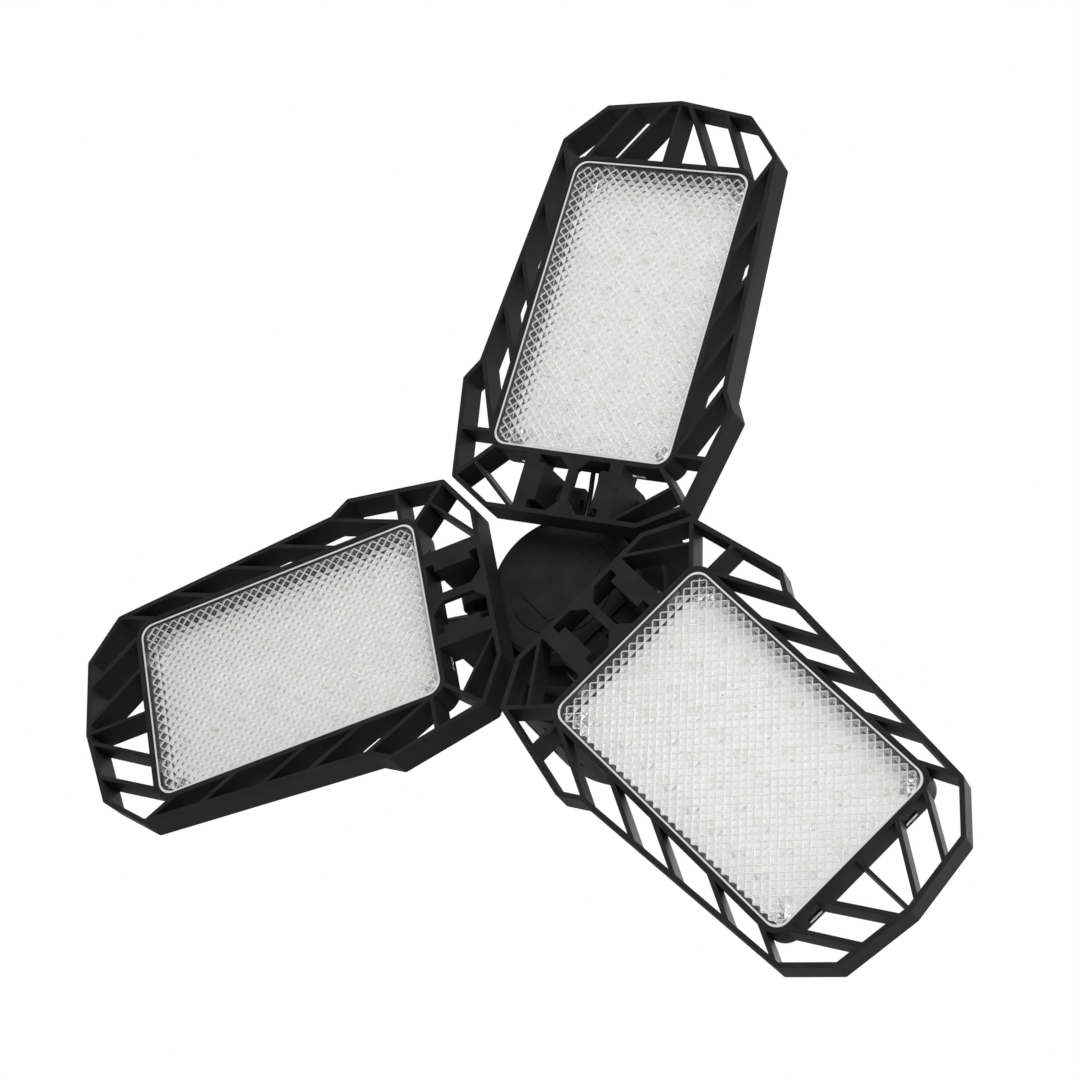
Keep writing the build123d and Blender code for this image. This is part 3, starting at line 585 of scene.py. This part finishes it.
on_pad = maths(tree, "GREATER_THAN", position(tree)["Z"], pad_level)

diode, shade, shader, where = surface("white_package", Roughness=0.4)
paint(shade, shader, mottle(shade, where, size=1.0 * mm), (0.76, 0.76, 0.74), (0.84, 0.84, 0.82))
phosphor, shade, shader, where = surface("pale_phosphor", Roughness=0.18)
grains = mottle(shade, where, size=0.25 * mm)
paint(shade, shader, grains, (0.77, 0.765, 0.71), (0.82, 0.815, 0.77))
rough_skin(shade, shader, grains, depth=0.01 * mm)
white = put(tree, "GeometryNodeSetMaterial", {"Geometry": realized.outputs[0], "Material": diode})
padded = put(tree, "GeometryNodeSetMaterial", {
    "Geometry": white.outputs[0], "Selection": on_pad, "Material": phosphor,
})
put(tree, "NodeGroupOutput", {0: padded.outputs[0]})
for leaf, place in leaf_places.items():
    mesh = grown(leaf + "_diodes", tree, chip_sizes)
    mesh.transform(place @ Matrix.Translation((lens_middle, 0, led_board_top)))
    piece = shown(leaf + "_diodes", mesh)
    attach(piece, leaf)
    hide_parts(leaf + "_led_chips")

# Board screws: four zinc-plated cross-recess screws in each tray, through the board's corners into the
# tray's floor.
board_screw_sizes = dict(screw_sizes, **{"Shank Radius": 1.25 * mm, "Shank Length": 3.1 * mm})
reach_along, reach_across = 50.25 * mm, 29.0 * mm
for leaf, place in leaf_places.items():
    normal = place.to_3x3().col[2]
    seats = []
    for end in (1, -1):
        for side in (1, -1):
            corner = Vector((lens_middle + end * reach_along, side * reach_across, led_board_top))
            seats.append((place @ corner, normal))
    piece = screws(leaf + "_board_screw_set", seats, board_screw_sizes, steel_screw)
    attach(piece, leaf)
    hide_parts(leaf + "_board_screws")

# Lenses: a clear acrylic plate on each tray's ledge, smooth outside with a frosted edge. Rows of small
# pyramids moulded inside spread the light, with frosted grooves between them, and four hooks through the
# tray's end walls hold the plate.
lens_sizes = {
    "Length": 112.5 * mm,
    "Width": 70.0 * mm,
    "Corner": 5.0 * mm,
    "Thickness": 2.2 * mm,
    "Columns": 58,
    "Rows": 36,
    "Prism Reach": 1.875 * mm,
    "Prism Height": 0.405 * mm,
    "Edge Band": 0.65 * mm,
    "Hook Spread": 44.0 * mm,
    "Hook Width": 5.0 * mm,
    "Hook Thickness": 1.0 * mm,
    "Hook Depth": 8.5 * mm,
    "Hook Reach": 2.8 * mm,
    "Hook Nub": 1.8 * mm,
}
corner_steps = 8
lens_weld = 0.01 * mm
hook_gap = 0.02 * mm
lens_rounding = 0.4 * mm
frost_start = 0.7
frosted_transmission = 0.1
whole_a, whole_b = 2, 3  # the Compare node's sockets for whole numbers

tree, size = new_tree("prismatic lens", lens_sizes)
spot = position(tree)
sheet = put(tree, "GeometryNodeCurvePrimitiveQuadrilateral", {
    "Width": size["Length"], "Height": size["Width"],
})
outline = put(tree, "GeometryNodeFilletCurve", {
    "Curve": sheet.outputs[0], "Count": corner_steps, "Radius": size["Corner"],
}, mode="POLY").outputs[0]
back_level = maths(tree, "MULTIPLY", size["Thickness"], -1.0)
back = vector(tree, Z=back_level)
foot = put(tree, "GeometryNodeFillCurve", {"Curve": outline}, mode="NGONS").outputs[0]
plate = put(tree, "GeometryNodeExtrudeMesh", {
    "Mesh": moved(tree, foot, back),
    "Offset": vector(tree, Z=size["Thickness"]),
    "Individual": False,
})
face = put(tree, "GeometryNodeExtrudeMesh", {
    "Mesh": plate.outputs["Mesh"],
    "Selection": plate.outputs["Top"],
    "Offset Scale": 0.0,
    "Individual": False,
})
inwards = {}
for way in ("X", "Y"):
    band = maths(tree, "MULTIPLY", maths(tree, "SIGN", spot[way]), size["Edge Band"])
    inwards[way] = maths(tree, "MULTIPLY", band, -1.0)
front = put(tree, "GeometryNodeSetPosition", {
    "Geometry": face.outputs["Mesh"],
    "Selection": face.outputs["Top"],
    "Offset": vector(tree, **inwards),
})
at_edge = put(tree, "FunctionNodeBooleanMath", {
    0: plate.outputs["Side"], 1: face.outputs["Side"],
}, operation="OR").outputs[0]
field = put(tree, "GeometryNodeMeshGrid", {
    "Size X": maths(tree, "MULTIPLY", size["Columns"], size["Prism Reach"]),
    "Size Y": maths(tree, "MULTIPLY", size["Rows"], size["Prism Reach"]),
    "Vertices X": maths(tree, "ADD", size["Columns"], 1.0),
    "Vertices Y": maths(tree, "ADD", size["Rows"], 1.0),
}).outputs["Mesh"]
neighbours = put(tree, "GeometryNodeInputMeshEdgeNeighbors").outputs["Face Count"]
at_border = put(tree, "FunctionNodeCompare", {
    whole_a: neighbours, whole_b: 1,
}, data_type="INT", operation="EQUAL").outputs[0]
border = put(tree, "GeometryNodeMeshToCurve", {"Mesh": field, "Selection": at_border}).outputs[0]
margin = put(tree, "GeometryNodeFillCurve", {"Curve": joined(tree, outline, border)}, mode="TRIANGLES")
ring = moved(tree, margin.outputs[0], back)
steps = []
for way in ("X", "Y"):
    cells = maths(tree, "DIVIDE", spot[way], size["Prism Reach"])
    steps.append(maths(tree, "COSINE", maths(tree, "MULTIPLY", cells, pi)))
relief = maths(tree, "MULTIPLY", maths(tree, "ADD", *steps), 0.5)
waves = put(tree, "GeometryNodeSetPosition", {
    "Geometry": field,
    "Offset": vector(tree, Z=maths(tree, "MULTIPLY", relief, size["Prism Height"])),
})
grooved = put(tree, "GeometryNodeStoreNamedAttribute", {
    "Geometry": waves.outputs[0],
    "Name": "groove",
    "Value": maths(tree, "SUBTRACT", 1.0, maths(tree, "ABSOLUTE", relief)),
}, data_type="FLOAT", domain="POINT")
facets = put(tree, "GeometryNodeTriangulate", {0: grooved.outputs[0]}, quad_method="SHORTEST_DIAGONAL")
height = maths(tree, "SUBTRACT", size["Prism Height"], maths(tree, "ABSOLUTE", spot["Z"]))
prisms = put(tree, "GeometryNodeSetPosition", {
    "Geometry": facets.outputs[0],
    "Position": vector(tree, X=spot["X"], Y=spot["Y"], Z=maths(tree, "SUBTRACT", height, size["Thickness"])),
})
level = put(tree, "GeometryNodeSetPosition", {
    "Geometry": prisms.outputs[0],
    "Selection": at_border,
    "Position": vector(tree, X=spot["X"], Y=spot["Y"], Z=back_level),
})
inside = put(tree, "GeometryNodeFlipFaces", {"Mesh": joined(tree, ring, level.outputs[0])})
shell = put(tree, "GeometryNodeMergeByDistance", {
    "Geometry": joined(tree, front.outputs[0], inside.outputs[0]), "Distance": lens_weld,
})
tip = maths(tree, "MULTIPLY", size["Hook Depth"], -1.0)
leg_length = maths(tree, "SUBTRACT", size["Hook Depth"], maths(tree, "ADD", size["Thickness"], hook_gap))
leg = block(
    tree,
    sides=vector(tree, X=size["Hook Thickness"], Y=size["Hook Width"], Z=leg_length),
    shift=vector(
        tree,
        X=maths(tree, "MULTIPLY", size["Hook Thickness"], -0.5),
        Z=maths(tree, "MULTIPLY_ADD", leg_length, 0.5, tip),
    ),
)
nub = block(
    tree,
    sides=vector(tree, X=size["Hook Reach"], Y=size["Hook Width"], Z=size["Hook Nub"]),
    shift=vector(
        tree,
        X=maths(tree, "MULTIPLY", size["Hook Reach"], 0.5),
        Z=maths(tree, "MULTIPLY_ADD", size["Hook Nub"], 0.5, tip),
    ),
)
corners = put(tree, "GeometryNodeMeshGrid", {
    "Size X": size["Length"], "Size Y": size["Hook Spread"], "Vertices X": 2, "Vertices Y": 2,
})
half_turn = maths(tree, "MULTIPLY", maths(tree, "LESS_THAN", spot["X"], 0.0), pi)
hooks = put(tree, "GeometryNodeInstanceOnPoints", {
    "Points": corners.outputs["Mesh"],
    "Instance": joined(tree, leg, nub),
    "Rotation": vector(tree, Z=half_turn),
})
hooked = joined(tree, shell.outputs[0], hooks.outputs[0])
realized = put(tree, "GeometryNodeRealizeInstances", {0: hooked})

clear_lens, shade, shader, where = surface("clear_acrylic", Base_Color=(0.92, 0.92, 0.92, 1), IOR=1.49)
groove = put(shade, "ShaderNodeAttribute", attribute_name="groove").outputs["Fac"]
clear = remap(shade, groove, frost_start, 1.0, 1.0, frosted_transmission)
shade.links.new(clear, shader.inputs["Transmission Weight"])
roughen(shade, shader, mottle(shade, where, size=6 * mm), low=0.10, high=0.16)
frosted_edge, shade, shader, where = surface("frosted_edge", Roughness=0.5)
frost = mottle(shade, where, size=0.5 * mm)
paint(shade, shader, frost, (0.88, 0.885, 0.89), (0.93, 0.935, 0.935))
rough_skin(shade, shader, frost, depth=0.02 * mm)
skin = put(tree, "GeometryNodeSetMaterial", {"Geometry": realized.outputs[0], "Material": clear_lens})
edged = put(tree, "GeometryNodeSetMaterial", {
    "Geometry": skin.outputs[0], "Selection": at_edge, "Material": frosted_edge,
})
put(tree, "NodeGroupOutput", {0: edged.outputs[0]})
for leaf, place in leaf_places.items():
    mesh = grown(leaf + "_prism_lens", tree, lens_sizes)
    mesh.transform(place @ Matrix.Translation((lens_middle, 0, 0)))
    piece = shown(leaf + "_prism_lens", mesh)
    rounded(piece, lens_rounding, segments=3, angle=75)
    piece.visible_shadow = False
    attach(piece, leaf)
    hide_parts(leaf + "_lens")

# Hinge screws: two blackened shoulder screws for each leaf, slotted, through the ears into the hub's
# knuckles. Their shanks are the hinge pins.
hinge_screw_sizes = {
    "Head Radius": 4.0 * mm,
    "Head Height": 2.4 * mm,
    "Dome": 0.35 * mm,
    "Shank Radius": 2.0 * mm,
    "Shank Length": 14.75 * mm,
    "Recess Length": 9.0 * mm,
    "Recess Width": 1.1 * mm,
    "Recess Depth": 1.0 * mm,
    "Second Bar": 1.1 * mm,
}
hinge_seat = 19.25 * mm
black_screw, shade, shader, where = surface("black_oxide", Metallic=0.6)
oxide = mottle(shade, where, size=0.9 * mm, detail=4.0)
paint(shade, shader, oxide, (0.018, 0.018, 0.019), (0.045, 0.045, 0.047))
roughen(shade, shader, oxide, low=0.3, high=0.5)
rough_skin(shade, shader, oxide, depth=0.02 * mm)
for leaf, place in leaf_places.items():
    across = place.to_3x3().col[1]
    seats = [
        (place @ Vector((hinge_radius, side * hinge_seat, -hinge_depth)), side * across) for side in (1, -1)
    ]
    piece = screws(leaf + "_hinge_screw_pair", seats, hinge_screw_sizes, black_screw)
    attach(piece, "hub")
    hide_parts(leaf + "_hinge_screws")

# Friction washers: thin hard-fibre rings on the hinge screws, between ear and knuckle, that hold a leaf
# where it is set.
washer, shade, shader, where = surface("hard_fibre", Roughness=0.75)
fibre = mottle(shade, where, size=0.5 * mm, detail=5.0)
paint(shade, shader, fibre, (0.05, 0.045, 0.04), (0.10, 0.09, 0.08))
rough_skin(shade, shader, fibre, depth=0.05 * mm)
for leaf in leaf_places:
    dress(leaf + "_friction_washers", washer)

# Leads: two black sleeved wires to each leaf, from the driver board, out of the hub between its
# knuckles and through the grommet in the leaf's back.
lead_radius = 0.95 * mm
lead_offset = 1.6 * mm
hub_end = [(12.5, -89.0), (12.5, -95.5), (32.4, -95.5)]  # out from the lamp's axis and up, in mm
leaf_end = [(44.75, -17.5), (52.55, -17.5), (52.55, -11.1)]  # along the leaf and out of its face, in mm
bend_to = (44.75, -17.5)
for leaf, place in leaf_places.items():
    outwards = leaf_outwards[leaf]
    across = place.to_3x3().col[1]
    end = place @ Vector((bend_to[0] * mm, 0, bend_to[1] * mm))
    for side, side_name in ((1, "left"), (-1, "right")):
        route = [
            outwards * r * mm + Vector((0, 0, z * mm)) + across * side * lead_offset for r, z in hub_end
        ]
        route += [place @ Vector((u * mm, side * lead_offset, w * mm)) for u, w in leaf_end]
        piece, points = wire(f"{leaf}_lead_{side_name}", route, lead_radius, black_wire)
        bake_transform(piece)
        if side > 0:
            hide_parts(leaf + "_lead")

# Grommets: a soft black rubber plug in the back of each leaf, where its wires go in. It is pressed into
# a slot in the tray's floor.
grommet, shade, shader, where = surface("black_rubber")
bloom = mottle(shade, where, size=1.5 * mm)
paint(shade, shader, bloom, (0.012, 0.012, 0.012), (0.028, 0.028, 0.028))
roughen(shade, shader, bloom, low=0.6, high=0.8)
rough_skin(shade, shader, bloom, depth=0.04 * mm)
for leaf in leaf_places:
    piece = moulding(leaf + "_lead_grommet", grommet, rounding=0.18 * mm)
    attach(piece, leaf)

# Floor: the plain pale painted floor of a room, well below the hanging lamp. It only sends some light
# back up.
floor_z = -2.4
floor_reach = 40.0
corner_signs = ((-1, -1), (1, -1), (1, 1), (-1, 1))
floor_mesh = bpy.data.meshes.new("floor")
floor_mesh.from_pydata(
    [(x * floor_reach, y * floor_reach, floor_z) for x, y in corner_signs], [], [(0, 1, 2, 3)],
)
pale_floor, shade, shader, where = surface("floor_paint", Roughness=0.9)
paint(shade, shader, mottle(shade, where, size=0.5), (0.84, 0.84, 0.84), (0.87, 0.87, 0.87))
floor_mesh.materials.append(pale_floor)
floor = shown("floor", floor_mesh)

# Light: an even white surround that is seen brighter than it lights, one large soft lamp below and in
# front of the leaves, and one above them.
fill_strength = 0.30
backdrop_strength = 1.0
surround = bpy.data.worlds.new("white surround")
surround.use_nodes = True
shade = surround.node_tree
shade.nodes.clear()
path = put(shade, "ShaderNodeLightPath").outputs
seen = maths(shade, "MAXIMUM", path["Is Camera Ray"], path["Is Glossy Ray"])
seen = maths(shade, "MAXIMUM", seen, path["Is Transmission Ray"])
fill = put(shade, "ShaderNodeBackground", {"Color": (1, 1, 1, 1), "Strength": fill_strength})
backdrop = put(shade, "ShaderNodeBackground", {"Color": (1, 1, 1, 1), "Strength": backdrop_strength})
mixed = put(shade, "ShaderNodeMixShader", {0: seen, 1: fill.outputs[0], 2: backdrop.outputs[0]})
put(shade, "ShaderNodeOutputWorld", {"Surface": mixed.outputs[0]})
bpy.context.scene.world = surround


def soft_lamp(name, place, aim, width, watts):
    """Square soft lamp at a place, turned to the point that it lights."""
    light = bpy.data.lights.new(name, "AREA")
    light.shape = "SQUARE"
    light.size = width
    light.energy = watts
    lamp = shown(name, light)
    lamp.location = place
    lamp.rotation_mode = "QUATERNION"
    lamp.rotation_quaternion = (Vector(aim) - Vector(place)).to_track_quat("-Z", "Y")


soft_lamp("key_lamp", place=(-0.55, 0.65, -1.9), aim=(0, 0, -0.1), width=1.2, watts=19.2)
soft_lamp("top_lamp", place=(0.2, 0.7, 2.2), aim=(0, 0, 0), width=1.6, watts=45.0)

# Camera: below the lamp and to one side, looking up at the lenses as the photograph does. Its place and
# its turn come from a fit to the corners of the leaves.
eye = Vector((-0.4865, -0.3407, -0.9852))
right = Vector((-0.87572, 0.30984, 0.37029))
ahead = Vector((0.46433, 0.33025, 0.82179))
camera = shown("camera", bpy.data.cameras.new("camera"))
camera.data.sensor_width = 36
camera.data.lens = 101.06
camera.data.clip_start = 0.05
facing = Matrix((right, right.cross(ahead), -ahead)).transposed().to_4x4()
camera.matrix_world = Matrix.Translation(eye) @ facing
bpy.context.scene.camera = camera
bpy.context.scene.view_settings.view_transform = "Standard"
